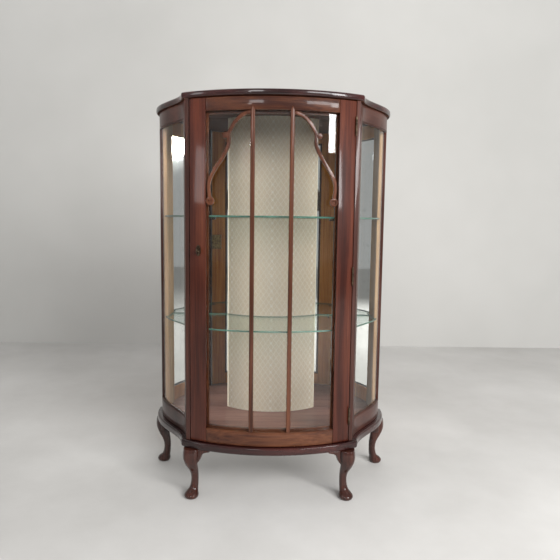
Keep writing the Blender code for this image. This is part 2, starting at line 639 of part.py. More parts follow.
def leg_mesh(foot, outward, spare=0.0):
    """Cabriole leg: rings stacked from the pad foot to the knee, swinging outward and back."""
    made = bmesh.new()
    outward = Vector((*outward, 0)).normalized()
    first_swing = LEG_FORM[0][1]
    rings = []
    for share, swing, radius in LEG_FORM:
        middle = Vector((*foot, share * LEG_HEIGHT)) + (swing - first_swing) * outward
        ring = bmesh.ops.create_circle(
            made, segments=LEG_SIDES, radius=radius + spare, matrix=Matrix.Translation(middle)
        )["verts"]
        rings.append(ring)
    for lower, upper in zip(rings, rings[1:]):
        both = {e for v in lower + upper for e in v.link_edges if len(e.link_faces) < 2}
        keep = [e for e in both if (set(e.verts) <= set(lower)) or (set(e.verts) <= set(upper))]
        bmesh.ops.bridge_loops(made, edges=keep)
    made.faces.new(rings[0])
    made.faces.new(rings[-1])
    return made


def ear_mesh(leg_place, along):
    """Scroll-cut bracket under the board, from inside the leg out to its thin tip."""
    top = LEG_HEIGHT
    knee = 0.010
    outline = [(knee, 0), (EAR_REACH, 0), (EAR_REACH, -0.004)]
    waves = ((0.88, 0.13), (0.74, 0.19), (0.62, 0.30), (0.55, 0.44), (0.50, 0.62), (0.43, 0.80), (0.36, 0.94))
    outline += [(EAR_REACH * a, -EAR_DROP * b) for a, b in waves]
    outline += [(knee, -EAR_DROP)]
    made = bmesh.new()
    base = made.faces.new([made.verts.new((u, -EAR_THICK / 2, top + w)) for u, w in outline])
    raised = bmesh.ops.extrude_face_region(made, geom=[base])["geom"]
    tops = [v for v in raised if isinstance(v, bmesh.types.BMVert)]
    bmesh.ops.translate(made, verts=tops, vec=(0, EAR_THICK, 0))
    place = Matrix.Translation((*leg_place, 0)) @ Matrix.Rotation(math.atan2(along[1], along[0]), 4, "Z")
    bmesh.ops.transform(made, matrix=place, verts=made.verts)
    return made


FRONT_FOOT = (POST_OUTER - 0.017, bow_y(POST_OUTER) - 0.0105)
REAR_FOOT = (SIDE_END - 0.006, BACK - 0.042)
for side_name, s in (("left", -1), ("right", 1)):
    places = (
        ("front", FRONT_FOOT, (0.55, -0.83), {"front": (-1.0, -0.34), "side": (0.42, 1.0)}),
        ("rear", REAR_FOOT, (0.75, 0.45), {"side": (-0.10, -1.0)}),
    )
    for leg_name, (fx, fy), outward, ears in places:
        foot, out = (s * fx, fy), (s * outward[0], outward[1])
        add_object(f"leg_{leg_name}_{side_name}", leg_mesh(foot, out), "mahogany_dark", True)
        for ear_name, (ax, ay) in ears.items():
            ear = add_object(
                f"ear_{leg_name}_{ear_name}_{side_name}", ear_mesh(foot, (s * ax, ay)), "mahogany_dark"
            )
            cut(ear, f"leg_room_{leg_name}_{ear_name}_{side_name}", leg_mesh(foot, out, GAP))
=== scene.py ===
"""Bow-fronted glazed display cabinet, dressed in its woods, glass, brass and fabric."""

import json
import math

import bmesh
import bpy
from mathutils import Matrix, Vector


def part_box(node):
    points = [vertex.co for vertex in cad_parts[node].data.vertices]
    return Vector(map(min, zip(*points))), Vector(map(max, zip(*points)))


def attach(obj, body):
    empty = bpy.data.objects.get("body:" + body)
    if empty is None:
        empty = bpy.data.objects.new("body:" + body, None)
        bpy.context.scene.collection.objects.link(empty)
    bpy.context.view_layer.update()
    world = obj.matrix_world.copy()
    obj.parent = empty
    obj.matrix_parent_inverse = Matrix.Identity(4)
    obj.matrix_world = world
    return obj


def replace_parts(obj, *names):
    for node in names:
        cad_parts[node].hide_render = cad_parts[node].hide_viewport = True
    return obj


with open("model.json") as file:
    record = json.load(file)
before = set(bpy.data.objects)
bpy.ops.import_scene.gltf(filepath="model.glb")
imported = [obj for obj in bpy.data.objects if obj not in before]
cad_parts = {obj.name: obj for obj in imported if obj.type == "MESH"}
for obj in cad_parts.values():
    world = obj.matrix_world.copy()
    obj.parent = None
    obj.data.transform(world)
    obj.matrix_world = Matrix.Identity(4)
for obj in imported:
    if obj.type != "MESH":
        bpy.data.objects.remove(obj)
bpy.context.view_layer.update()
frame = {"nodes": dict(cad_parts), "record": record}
slot_of = {part["node"]: part["material_slot"] for part in frame["record"]["subparts"]}
SIDES = (("left", -1), ("right", 1))

# ---- sizes shared with the solids, in metres ------------------------------
GAP = 0.0003  # clearance between neighbours
DOOR_HALF = 0.238  # half of the door's width
DOOR_BOW = 0.0532  # how far the door's middle stands in front of its edges
DOOR_THICK = 0.022
DOOR_SIDE_GAP = 0.0015
POST_FACE = 0.0125  # width of a front post seen from the front
SIDE_SPREAD = 0.125  # how far a side spreads out behind its front post
CASE_DEPTH = 0.305
POST_SPAN = 0.14  # share of the side's curve taken by the front post
REAR_SPAN = 0.14  # share taken by the rear post
REAR_POST_THICK = 0.022
SIDE_THICK = 0.016
SIDE_GLASS_INSET = 0.006
STILE_WIDTH = 0.049
BAR_CENTRE = 0.055
BAR_WIDTH = 0.0125
BAR_BACK = 0.0130  # how far the bars reach in behind the door's face
BAR_PROUD = 0.0020  # how far they stand in front of it
BAR_TIP = 0.013
GLASS_THICK = 0.003
FRET_WIDTH = 0.0100
COLUMN_HALF = 0.152
COLUMN_BULGE = 0.052
CLOTH_ROW = 0.073  # distance between the cloth's rows of dots
CLOTH_DOT_STEP = 0.0255  # distance between the dots of one row
BASE_OVER = (0.0105, 0.0150)  # a board's overhang at the front and at the sides
TOP_OVER = (0.0065, 0.0100)
FOOT_RADIUS = 0.0205
EAR_THICK = 0.014
EAR_REACH = 0.062
EAR_DROP = 0.046
EAR_KNEE = 0.010  # where an ear starts, out from its leg's middle
KEY_REACH = 0.024
KEY_BOW = 0.009

FRONT_LINE = (BASE_OVER[0] + DOOR_BOW - CASE_DEPTH) / 2
BACK = FRONT_LINE + CASE_DEPTH
BOW_RADIUS = (DOOR_HALF ** 2 + DOOR_BOW ** 2) / (2 * DOOR_BOW)
BOW_CENTRE = FRONT_LINE + math.sqrt(BOW_RADIUS ** 2 - DOOR_HALF ** 2)
POST_INNER = DOOR_HALF + DOOR_SIDE_GAP
POST_OUTER = POST_INNER + POST_FACE
SIDE_END = POST_OUTER + SIDE_SPREAD
RAIL_START = POST_SPAN + GAP / CASE_DEPTH
RAIL_END = 1 - REAR_SPAN - GAP / CASE_DEPTH
OPENING_HALF = DOOR_HALF - STILE_WIDTH
RAIL_HALF = OPENING_HALF - GAP
OPENING_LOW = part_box("door_rail_low")[1][2]
OPENING_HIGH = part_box("door_rail_high")[0][2]
BAR_SIDE = BAR_CENTRE + BAR_WIDTH / 2
COLUMN_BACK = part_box("column_fabric")[1][1]
COLUMN_RADIUS = (COLUMN_HALF ** 2 + COLUMN_BULGE ** 2) / (2 * COLUMN_BULGE)
COLUMN_CENTRE = COLUMN_BACK - COLUMN_BULGE + COLUMN_RADIUS
LEG_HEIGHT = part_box("leg_front_left")[1][2]
LIE_ALONG_Y = Matrix.Rotation(math.pi / 2, 4, "X")


# ---- plan curves ----------------------------------------------------------
def bow_y(x, inset=0.0):
    """Front face of the bow at x, or a line that far behind it."""
    return BOW_CENTRE - math.sqrt((BOW_RADIUS - inset) ** 2 - x * x)


def bow_points(left, right, inset, steps):
    """Points along the bow, from left to right."""
    xs = [left + (right - left) * i / steps for i in range(steps + 1)]
    return [(x, bow_y(x, inset)) for x in xs]


def bow_strip(left, right, front, back, steps):
    """Plan of a bowed piece between two insets."""
    return bow_points(left, right, front, steps) + bow_points(left, right, back, steps)[::-1]


def side_point(t, inset=0.0):
    """Right side of the case: hollow behind the front post, then full towards the back."""
    a = Vector((POST_OUTER, bow_y(POST_OUTER)))
    b = Vector((POST_OUTER + 0.08 * SIDE_SPREAD, FRONT_LINE + 0.33 * CASE_DEPTH))
    c = Vector((SIDE_END, FRONT_LINE + 0.525 * CASE_DEPTH))
    d = Vector((SIDE_END, FRONT_LINE + 0.935 * CASE_DEPTH))
    s = 1 - t
    place = s ** 3 * a + 3 * s * s * t * b + 3 * s * t * t * c + t ** 3 * d
    along = (3 * s * s * (b - a) + 6 * s * t * (c - b) + 3 * t * t * (d - c)).normalized()
    return place + inset * Vector((-along.y, along.x))


def side_points(start, end, inset, steps=48):
    """Points along a stretch of the right side, from front to back."""
    return [tuple(side_point(start + (end - start) * i / steps, inset)) for i in range(steps + 1)]


def side_strip(start, end, outer, inner):
    """Plan of a piece that follows the side between two insets."""
    return side_points(start, end, outer) + side_points(start, end, inner)[::-1]


def board_outline(over_front, over_side):
    """Plan of a board that overhangs the case."""
    corner = POST_OUTER + 0.12 * over_side
    front = bow_points(-corner, corner, -over_front, 64)
    front_end = front[-1][1] + 0.0012
    side = [(x, y) for x, y in side_points(0, 1, -over_side) if y > front_end and x > corner]
    right = side + [(SIDE_END + over_side, BACK)]
    return front + right + [(-x, y) for x, y in reversed(right)]


def on_side(outline, side):
    """A right-hand plan as it is for side 1, or its mirror image for side -1."""
    return outline if side > 0 else [(-x, y) for x, y in reversed(outline)]


def smooth_path(points, steps):
    """Curve that runs through every point."""
    path = []
    padded = [2 * points[0] - points[1]] + points + [2 * points[-1] - points[-2]]
    for p0, p1, p2, p3 in zip(padded, padded[1:], padded[2:], padded[3:]):
        for i in range(steps):
            t = i / steps
            path.append(0.5 * (
                2 * p1 + (p2 - p0) * t + (2 * p0 - 5 * p1 + 4 * p2 - p3) * t * t
                + (3 * p1 - p0 - 3 * p2 + p3) * t ** 3
            ))
    return path + [points[-1]]


def ribbon(path, width, low_x, high_x):
    """Outline of a strip of one width along a path, kept between two upright lines."""
    sides = ([], [])
    for i, place in enumerate(path):
        along = (path[min(i + 1, len(path) - 1)] - path[max(i - 1, 0)]).normalized()
        outward = Vector((-along.y, along.x)) * width / 2
        for row, spot in zip(sides, (place + outward, place - outward)):
            row.append((min(max(spot.x, low_x), high_x), spot.y))
    return sides[0] + sides[1][::-1]


# ---- materials ------------------------------------------------------------
class Finish:
    """One procedural material, with short ways to add and link its nodes."""

    def __init__(self, name):
        self.material = bpy.data.materials.new(name)
        self.material.use_nodes = True
        self.tree = self.material.node_tree
        self.shader = self.tree.nodes["Principled BSDF"]

    def feed(self, socket, value):
        """Links a socket to another node's output, or gives it a fixed value."""
        if isinstance(value, bpy.types.NodeSocket):
            self.tree.links.new(value, socket)
        else:
            socket.default_value = value

    def node(self, kind, **inputs):
        made = self.tree.nodes.new(kind)
        for key, value in inputs.items():
            self.feed(made.inputs[key.replace("_", " ")], value)
        return made

    def place(self, scale=(1, 1, 1), uv=None):
        """Where the pattern is read: on the object, or on its own map."""
        if uv:
            source = self.tree.nodes.new("ShaderNodeUVMap")
            source.uv_map = uv
            spot = source.outputs["UV"]
        else:
            spot = self.tree.nodes.new("ShaderNodeTexCoord").outputs["Object"]
        return self.node("ShaderNodeMapping", Vector=spot, Scale=scale).outputs["Vector"]

    def noise(self, where, scale, detail=4.0, rough=0.55, twist=0.0):
        made = self.node(
            "ShaderNodeTexNoise", Vector=where, Scale=scale, Detail=detail, Roughness=rough, Distortion=twist
        )
        return made.outputs["Fac"]

    def ramp(self, value, *stops):
        made = self.node("ShaderNodeValToRGB", Fac=value)
        keys = made.color_ramp.elements
        while len(keys) < len(stops):
            keys.new(0.5)
        for key, (place, colour) in zip(keys, stops):
            key.position = place
            key.color = (*colour, 1)
        return made.outputs["Color"]

    def levels(self, value, low, high, out_low=0.0, out_high=1.0):
        made = self.node(
            "ShaderNodeMapRange", Value=value, From_Min=low, From_Max=high, To_Min=out_low, To_Max=out_high
        )
        return made.outputs["Result"]

    def math(self, operation, a, b=0.0):
        made = self.tree.nodes.new("ShaderNodeMath")
        made.operation = operation
        for socket, value in zip(made.inputs, (a, b)):
            self.feed(socket, value)
        return made.outputs[0]

    def blend(self, share, a, b):
        made = self.tree.nodes.new("ShaderNodeMix")
        made.data_type = "RGBA"
        self.feed(made.inputs[0], share)
        for socket, colour in ((made.inputs[6], a), (made.inputs[7], b)):
            self.feed(socket, (*colour, 1) if isinstance(colour, tuple) else colour)
        return made.outputs[2]

    def bump(self, height, depth, strength):
        made = self.node("ShaderNodeBump", Height=height, Distance=depth, Strength=strength)
        self.tree.links.new(made.outputs["Normal"], self.shader.inputs["Normal"])

    def set(self, **inputs):
        for key, value in inputs.items():
            self.feed(self.shader.inputs[key.replace("_", " ")], value)


def drawn_out(along, fine, coarse):
    """Scale that draws a pattern out along one axis."""
    return tuple(coarse if axis == along else fine for axis in "XYZ")


def polished_wood(name, along, deep, middle, pale, rough=0.36, coat=0.38):
    """French-polished mahogany: ribbon figure, fine straight grain and dark short pores."""
    f = Finish(name)
    figure = f.noise(f.place(drawn_out(along, 16, 1.6)), 1.0, 3.0, 0.5, 0.6)
    grain = f.noise(f.place(drawn_out(along, 210, 5.0)), 1.0, 5.0, 0.62)
    pores = f.noise(f.place(drawn_out(along, 900, 26.0)), 1.0, 2.0, 0.5)
    cloud = f.noise(f.place((3.1, 3.1, 2.3)), 1.0, 2.0)
    tone = f.math("ADD", f.math("MULTIPLY", figure, 0.45), f.math("MULTIPLY", grain, 0.35))
    tone = f.math("ADD", tone, f.math("MULTIPLY", cloud, 0.20))
    colour = f.ramp(tone, (0.40, deep), (0.50, middle), (0.62, pale))
    pore_mask = f.levels(pores, 0.60, 0.72)
    colour = f.blend(f.math("MULTIPLY", pore_mask, 0.45), colour, tuple(0.35 * c for c in deep))
    rub = f.noise(f.place((7, 7, 7)), 1.0, 5.0, 0.7)
    f.set(Base_Color=colour, Roughness=f.levels(rub, 0.3, 0.75, rough - 0.05, rough + 0.10))
    f.set(Coat_Weight=coat, Coat_Roughness=0.07, Specular_IOR_Level=0.20)
    height = f.math("SUBTRACT", f.math("MULTIPLY", grain, 0.4), f.math("MULTIPLY", pore_mask, 0.35))
    f.bump(height, 0.0004, 0.35)
    return f.material


def clear_glass(name, tint):
    """Thin clear pane: lets everything through, with a clean reflection on its faces."""
    f = Finish(name)
    through = f.node("ShaderNodeBsdfTransparent", Color=(*tint, 1))
    f.set(Base_Color=(1, 1, 1, 1), Metallic=1.0, Roughness=0.02)
    slant = f.node("ShaderNodeLayerWeight", Blend=0.5).outputs["Facing"]
    shine = f.math("ADD", f.math("MULTIPLY", f.math("POWER", slant, 5.0), 0.95), 0.038)
    share = f.math("MULTIPLY", shine, 0.7)
    haze = f.noise(f.place((9, 9, 9)), 1.0, 3.0)
    share = f.math("ADD", share, f.levels(haze, 0.45, 0.8, 0.0, 0.006))
    mix = f.tree.nodes.new("ShaderNodeMixShader")
    for socket, source in zip(mix.inputs, (share, through.outputs[0], f.shader.outputs[0])):
        f.tree.links.new(source, socket)
    f.tree.links.new(mix.outputs[0], f.tree.nodes["Material Output"].inputs["Surface"])
    return f.material


def green_edge():
    """Cut edge of a shelf, where the light has come a long way through the glass."""
    f = Finish("shelf_edge")
    tone = f.noise(f.place((30, 30, 300)), 1.0, 2.0)
    colour = f.ramp(tone, (0.3, (0.020, 0.075, 0.052)), (0.7, (0.075, 0.17, 0.13)))
    f.set(Base_Color=colour, Roughness=0.12, Coat_Weight=0.6, Coat_Roughness=0.05)
    return f.material


def silvering():
    """Old mirror, faintly spotted."""
    f = Finish("silvering")
    spots = f.noise(f.place((40, 40, 40)), 1.0, 4.0, 0.7)
    colour = f.ramp(spots, (0.25, (0.62, 0.63, 0.62)), (0.42, (0.80, 0.81, 0.80)))
    f.set(Base_Color=colour, Metallic=1.0, Roughness=f.levels(spots, 0.2, 0.8, 0.045, 0.015))
    return f.material


def worn_metal(name, deep, bright, rough):
    """Metal with darker, duller stains and a fine grain."""
    f = Finish(name)
    stain = f.noise(f.place((130, 130, 130)), 1.0, 5.0, 0.6)
    f.set(Base_Color=f.ramp(stain, (0.35, deep), (0.65, bright)), Metallic=1.0)
    f.set(Roughness=f.levels(stain, 0.3, 0.7, rough + 0.12, rough))
    f.bump(f.noise(f.place((900, 900, 900)), 1.0, 3.0), 0.0001, 0.3)
    return f.material


def column_cloth():
    """Cream furnishing cloth: fine weave, a lattice of small diamonds and rows of raised dots."""
    f = Finish("cream_cloth")
    uv = f.place(uv="cloth")
    split = f.node("ShaderNodeSeparateXYZ", Vector=uv)
    across, up = split.outputs["X"], split.outputs["Y"]

    def from_middle(value, step):
        """How far a place is from the middle of its own repeat."""
        share = f.math("SUBTRACT", f.math("FRACT", f.math("DIVIDE", value, step)), 0.5)
        return f.math("MULTIPLY", share, step)

    aside = from_middle(across, CLOTH_ROW)
    rise = from_middle(up, CLOTH_DOT_STEP)
    far = f.math("SQRT", f.math("ADD", f.math("MULTIPLY", aside, aside), f.math("MULTIPLY", rise, rise)))
    dots = f.levels(far, 0.0052, 0.0028)

    # crossing zigzags make the diamonds
    across_wave = f.math("DIVIDE", f.math("PINGPONG", across, 0.0091), 0.0091)
    up_wave = f.math("DIVIDE", f.math("PINGPONG", up, CLOTH_DOT_STEP / 2), CLOTH_DOT_STEP / 2)
    off_line = f.math("ABSOLUTE", f.math("SUBTRACT", f.math("ADD", across_wave, up_wave), 1.0))
    ribs = f.levels(off_line, 0.22, 0.06)

    warp = f.node("ShaderNodeTexWave", Vector=uv, Scale=420.0, Distortion=0.4)
    warp.bands_direction = "X"
    weft = f.node("ShaderNodeTexWave", Vector=uv, Scale=420.0, Distortion=0.4)
    weft.bands_direction = "Y"
    threads = f.math("MULTIPLY", warp.outputs["Fac"], weft.outputs["Fac"])
    slub = f.noise(f.place((240, 60, 1), uv="cloth"), 1.0, 4.0)
    age = f.noise(f.place((5, 3, 1), uv="cloth"), 1.0, 3.0)
    ground = f.ramp(age, (0.3, (0.76, 0.67, 0.52)), (0.7, (0.84, 0.77, 0.64)))
    raised = f.math("MAXIMUM", dots, f.math("MULTIPLY", ribs, 0.7))
    colour = f.blend(f.math("MULTIPLY", raised, 0.85), ground, (0.93, 0.90, 0.82))
    colour = f.blend(f.levels(slub, 0.3, 0.75, 0.0, 0.22), colour, (0.50, 0.42, 0.30))
    f.set(Base_Color=colour, Roughness=f.levels(raised, 0, 1, 0.72, 0.5))
    f.set(Sheen_Weight=0.25, Sheen_Roughness=0.5, Specular_IOR_Level=0.35)
    height = f.math("ADD", raised, f.math("MULTIPLY", threads, 0.22))
    f.bump(f.math("ADD", height, f.math("MULTIPLY", slub, 0.15)), 0.0011, 0.7)
    return f.material


def clouded(name, scale, detail, rough_detail, dark, pale, roughness):
    """Plain floor or wall with soft clouds in its tone."""
    f = Finish(name)
    clouds = f.noise(f.place((scale, scale, scale)), 1.0, detail, rough_detail)
    f.set(Base_Color=f.ramp(clouds, (0.3, dark), (0.7, pale)), Roughness=roughness)
    return f.material


# each wood's deep, middle and pale tone
STILE_TONES = ((0.022, 0.004, 0.002), (0.050, 0.011, 0.0055), (0.096, 0.026, 0.012))
RAIL_TONES = ((0.024, 0.006, 0.003), (0.058, 0.0187, 0.0083), (0.105, 0.038, 0.017))
# side tones: the mahogany made darker and greyer, a painted shade and painted room reflection for faces
# turned sideways away from the lights
SIDEWAYS_SHADE_TONES = ((0.018, 0.006, 0.004), (0.040, 0.013, 0.009), (0.072, 0.026, 0.018))
LEG_TONES = ((0.011, 0.003, 0.002), (0.030, 0.008, 0.005), (0.064, 0.020, 0.012))
BAR_TONES = ((0.026, 0.007, 0.003), (0.060, 0.018, 0.008), (0.110, 0.038, 0.018))
MOULDING_TONES = ((0.008, 0.002, 0.002), (0.021, 0.005, 0.0045), (0.046, 0.011, 0.009))
INSIDE_TONES = ((0.340, 0.120, 0.028), (0.580, 0.240, 0.065), (0.720, 0.350, 0.120))
FLOOR_TONES = ((0.125, 0.050, 0.036), (0.215, 0.098, 0.074), (0.310, 0.165, 0.130))
RAW_TONES = ((0.25, 0.135, 0.060), (0.38, 0.225, 0.110), (0.50, 0.33, 0.18))

stile_wood = polished_wood("polished_stile", "Z", *STILE_TONES)
rail_wood = polished_wood("polished_rail", "X", *RAIL_TONES)
# side rails and posts take the darker, greyer side tones, which are painted shade and reflection of sideways
# faces
shaded_side_wood = polished_wood("polished_side_shaded", "Y", *SIDEWAYS_SHADE_TONES)
shaded_post_wood = polished_wood("polished_post_shaded", "Z", *SIDEWAYS_SHADE_TONES)
bar_wood = polished_wood("polished_bar", "Z", *BAR_TONES, rough=0.34)
dark_wood = polished_wood("dark_moulding", "X", *MOULDING_TONES, rough=0.24, coat=0.7)
leg_wood = polished_wood("dark_leg", "Z", *LEG_TONES, rough=0.26, coat=0.7)
inner_wood = polished_wood("plain_inside", "Z", *INSIDE_TONES, rough=0.5, coat=0.1)
floor_wood = polished_wood("inside_floor", "X", *FLOOR_TONES, rough=0.42, coat=0.2)
plain_wood = polished_wood("plain_underside", "X", *RAIL_TONES, rough=0.6, coat=0.0)
raw_wood = polished_wood("raw_post", "Z", *RAW_TONES, rough=0.6, coat=0.0)
pane_glass = clear_glass("pane", (0.985, 0.99, 0.985))
shelf_face = clear_glass("shelf_face", (0.93, 0.97, 0.95))
shelf_edge = green_edge()
mirror_finish = silvering()
brass = worn_metal("aged_brass", (0.14, 0.085, 0.035), (0.46, 0.32, 0.13), 0.32)
bronze = worn_metal("dark_bronze", (0.045, 0.030, 0.020), (0.17, 0.125, 0.085), 0.36)
steel = worn_metal("dull_steel", (0.12, 0.115, 0.11), (0.36, 0.35, 0.34), 0.34)
cloth = column_cloth()


# ---- making pieces --------------------------------------------------------
def add_piece(name, made, finishes, body, smooth=35):
    """Turns a bmesh into a piece that rides on a body."""
    bmesh.ops.recalc_face_normals(made, faces=made.faces)
    mesh = bpy.data.meshes.new(name)
    made.to_mesh(mesh)
    made.free()
    mesh.shade_smooth()
    mesh.set_sharp_from_angle(angle=math.radians(smooth))
    for finish in finishes:
        mesh.materials.append(finish)
    piece = bpy.data.objects.new(name, mesh)
    bpy.context.collection.objects.link(piece)
    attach(piece, body)
    return piece


def refine(node, made, finishes, body, smooth=35):
    """Puts a finer piece in the place of one solid."""
    piece = add_piece(f"{node}_fine", made, finishes, body, smooth)
    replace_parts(piece, node)
    return piece


def plate(corners, shift):
    """Closed plate: a face through the corners, extruded to where shift puts each corner."""
    made = bmesh.new()
    base = made.faces.new([made.verts.new(corner) for corner in corners])
    for part in bmesh.ops.extrude_face_region(made, geom=[base])["geom"]:
        if isinstance(part, bmesh.types.BMVert):
            part.co = shift(part.co)
    bmesh.ops.recalc_face_normals(made, faces=made.faces)
    return made


def raised_plate(outline, low, high):
    """Plan outline raised from one height to another."""
    return plate([(x, y, low) for x, y in outline], lambda spot: spot + Vector((0, 0, high - low)))


def bowed_plate(outline, front, back):
    """Outline seen from the front, given a front and a back face that follow the bow."""
    corners = [(x, bow_y(x, front), z) for x, z in outline]
    return plate(corners, lambda spot: Vector((spot.x, bow_y(spot.x, back), spot.z)))


def soften(made, size, steps=2, least=35):
    """Rounds every edge that turns by more than the least angle."""
    limit = math.radians(least)
    sharp = [e for e in made.edges if len(e.link_faces) == 2 and e.calc_face_angle(0) > limit]
    bmesh.ops.bevel(
        made, geom=sharp, offset=size, segments=steps, profile=0.5, affect="EDGES", material=-1,
        clamp_overlap=True,
    )


def add_rod(made, place, radius, length, segments=32):
    """Adds a round rod that lies along Y."""
    bmesh.ops.create_cone(
        made, cap_ends=True, segments=segments, radius1=radius, radius2=radius, depth=length,
        matrix=Matrix.Translation(place) @ LIE_ALONG_Y,
    )


def heights(node):
    """Bottom and top of a solid."""
    low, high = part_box(node)
    return low[2], high[2]


def upright(node, outline, finishes, body, edge=0.0, steps=2, smooth=35):
    """Finer copy of an upright piece: its plan, raised to its solid's height and softened."""
    made = raised_plate(outline, *heights(node))
    if edge:
        soften(made, edge, steps)
    return refine(node, made, finishes, body, smooth)


def second_finish(piece, chosen):
    """Gives the chosen faces the piece's second finish."""
    for face in piece.data.polygons:
        if chosen(face):
            face.material_index = 1


def add_bead(name, points, radius, finish):
    """Thin round moulding run along a line of points on the case."""
    line = bpy.data.curves.new(name, "CURVE")
    line.dimensions = "3D"
    line.bevel_depth = radius
    line.bevel_resolution = 3
    line.use_fill_caps = True
    spline = line.splines.new("POLY")
    spline.points.add(len(points) - 1)
    for point, spot in zip(spline.points, points):
        point.co = (*spot, 1)
    holder = bpy.data.objects.new(name, line)
    mesh = bpy.data.meshes.new_from_object(holder)
    bpy.data.objects.remove(holder)
    made = bmesh.new()
    made.from_mesh(mesh)
    bmesh.ops.remove_doubles(made, verts=made.verts, dist=0.00001)
    add_piece(name, made, [finish], "case")


# ---- case -----------------------------------------------------------------
def add_boards():
    """Base with its bull nose, and top with a softer edge and a plain underside."""
    upright("base_board", board_outline(*BASE_OVER), [dark_wood], "case", 0.0098, 6, 50)
    top = upright("top_board", board_outline(*TOP_OVER), [dark_wood, plain_wood], "case", 0.0062, 4, 50)
    second_finish(top, lambda face: face.normal.z < -0.9)


def add_front_post():
    """Right front post, in plain wood where it looks into the case."""
    outer = POST_OUTER - 0.0012
    corner = side_point(POST_SPAN, POST_FACE + 0.004)
    outline = [(POST_INNER, bow_y(POST_INNER)), (outer, bow_y(outer))]
    outline += side_points(0, POST_SPAN, 0, 12) + [tuple(corner), (POST_INNER, corner.y)]
    post = upright("front_post_right", outline, [shaded_post_wood, inner_wood], "case", 0.0016)
    second_finish(post, lambda face: face.normal.y > 0.3)


def add_rear_post(name, side):
    """Rear post, in raw wood where it looks into the case."""
    post_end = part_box("rear_post_right")[1][1]
    raw_from = side_point(1 - REAR_SPAN, 0.5 * REAR_POST_THICK)
    outline = side_points(1 - REAR_SPAN, 1, 0, 12)
    outline += [(SIDE_END, post_end), (SIDE_END - REAR_POST_THICK, post_end)]
    outline += side_points(1 - REAR_SPAN, 1, REAR_POST_THICK, 12)[::-1]
    outline.append(tuple(raw_from))
    post = upright(f"rear_post_{name}", on_side(outline, side), [shaded_post_wood, raw_wood], "case", 0.0012)

    def looks_inside(face):
        faces_front = face.normal.y < -0.5 and abs(face.center.x) < raw_from.x
        return -side * face.normal.x > 0.5 or faces_front

    second_finish(post, looks_inside)


def add_posts(name, side):
    """Posts of one side; the left front post keeps its solid, which has the bolt's pocket."""
    if name == "right":
        add_front_post()
    add_rear_post(name, side)


def add_side_frame(name, side):
    """Two rails and the pane between them."""
    strip = on_side(side_strip(RAIL_START, RAIL_END, 0, SIDE_THICK), side)
    for rail in ("low", "high"):
        made = upright(f"side_rail_{rail}_{name}", strip, [shaded_side_wood, inner_wood], "case", 0.0022, 3)
        second_finish(made, lambda face: -side * face.normal.x > 0.2)
    pane = side_strip(RAIL_START, RAIL_END, SIDE_GLASS_INSET, SIDE_GLASS_INSET + GLASS_THICK)
    upright(f"side_glass_{name}", on_side(pane, side), [pane_glass], "case")


def add_side_beads(name, side):
    """A bead where the side's pane meets each rail."""
    opening_low = heights(f"side_rail_low_{name}")[1]
    opening_high = heights(f"side_rail_high_{name}")[0]
    for end, z in (("low", opening_low + 0.0016), ("high", opening_high - 0.0016)):
        run = [(side * x, y, z) for x, y in side_points(RAIL_START, RAIL_END, 0.0040)]
        add_bead(f"side_bead_{end}_{name}", run, 0.0019, shaded_side_wood)


def add_column():
    """One stretched cloth round the column, with a welt down each edge."""
    low, high = heights("column_fabric")
    reach = math.acos((COLUMN_CENTRE - COLUMN_BACK) / COLUMN_RADIUS)
    width, height = 2 * reach * COLUMN_RADIUS, high - low
    radius = COLUMN_RADIUS - 0.0002
    cover = bmesh.new()
    bmesh.ops.create_grid(cover, x_segments=64, y_segments=40, size=0.5)
    layer = cover.loops.layers.uv.new("cloth")
    for face in cover.faces:
        for loop in face.loops:
            flat = loop.vert.co
            loop[layer].uv = (flat.x * width + CLOTH_ROW / 2, (flat.y + 0.5) * height)
    for vert in cover.verts:
        turn = vert.co.x * 2 * reach
        z = low + (vert.co.y + 0.5) * height
        vert.co = (radius * math.sin(turn), COLUMN_CENTRE - radius * math.cos(turn), z)
    bmesh.ops.solidify(cover, geom=cover.faces[:], thickness=0.0012)
    piece = add_piece("column_cover", cover, [cloth], "case")
    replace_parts(piece, "column_fabric")
    for name, side in SIDES:
        x, y = side * (COLUMN_HALF - 0.0012), COLUMN_BACK - 0.0018
        welt = [(x, y, low + 0.002), (x, y, high - 0.002)]
        add_bead(f"column_welt_{name}", welt, 0.0015, cloth)


def add_shelf(name):
    """Shelf with a fine arris and a green edge, from a merged copy of its solid."""
    made = bmesh.new()
    made.from_mesh(frame["nodes"][f"shelf_{name}"].data)
    bmesh.ops.remove_doubles(made, verts=made.verts, dist=0.00002)
    bmesh.ops.dissolve_limit(made, angle_limit=0.002, verts=made.verts, edges=made.edges)
    soften(made, 0.0007, 1)
    shelf = refine(f"shelf_{name}", made, [shelf_face, shelf_edge], f"{name}_shelf")
    second_finish(shelf, lambda face: abs(face.normal.z) <= 0.95)


# ---- door -----------------------------------------------------------------
def add_door_frame():
    """Stiles, rails and pane."""
    across = bow_strip(-RAIL_HALF, RAIL_HALF, 0, DOOR_THICK, 64)
    lock_side = bow_strip(-DOOR_HALF, -OPENING_HALF, 0, DOOR_THICK, 16)
    hinge_side = bow_strip(OPENING_HALF, DOOR_HALF, 0, DOOR_THICK, 16)
    for node, outline, wood in (
        ("lock_stile", lock_side, stile_wood),
        ("hinge_stile", hinge_side, stile_wood),
        ("door_rail_low", across, rail_wood),
        ("door_rail_high", across, rail_wood),
    ):
        made = upright(node, outline, [wood, inner_wood], "door", 0.0014)
        second_finish(made, lambda face: face.normal.y > 0.3)
    glass_front = BAR_BACK + GAP
    pane = bow_strip(-RAIL_HALF, RAIL_HALF, glass_front, glass_front + GLASS_THICK, 96)
    upright("door_glass", pane, [pane_glass], "door")


